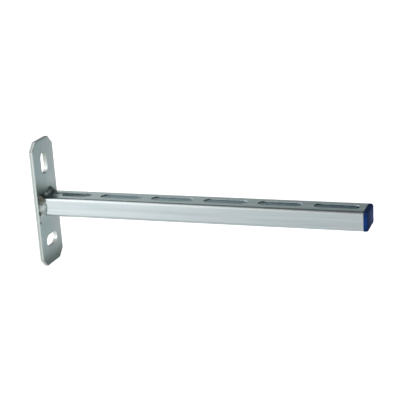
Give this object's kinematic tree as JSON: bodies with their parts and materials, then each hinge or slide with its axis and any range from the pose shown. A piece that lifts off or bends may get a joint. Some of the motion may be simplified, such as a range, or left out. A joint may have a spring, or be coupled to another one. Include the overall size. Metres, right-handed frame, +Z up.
{
  "type": "cantilever strut arm",
  "caption": "Cantilever bracket arm: a slotted C-section strut rail welded to a flat back plate with bolt slots, with a blue plastic cap pushed into its free end.",
  "frame": {"origin": "centre of the back plate's wall face", "axes": "+X out of the wall along the arm, +Y to the left when looking out from the wall, +Z up"},
  "size_m": [0.308, 0.04, 0.12],
  "materials": {
    "plate_zinc": "bright zinc plate on hot-rolled strip, satin, with faint streaks",
    "rail_zinc": "bright zinc plate on roll-formed sheet, semi-gloss",
    "weld_metal": "zinc-plated weld bead, uneven, with dark scale",
    "cap_plastic": "moulded polyethylene, navy blue, satin"
  },
  "bodies": {
    "root": {"back_plate": "plate_zinc", "slotted_rail": "rail_zinc", "weld_bead": "weld_metal", "end_cap": "cap_plastic"}
  },
  "joints": []
}
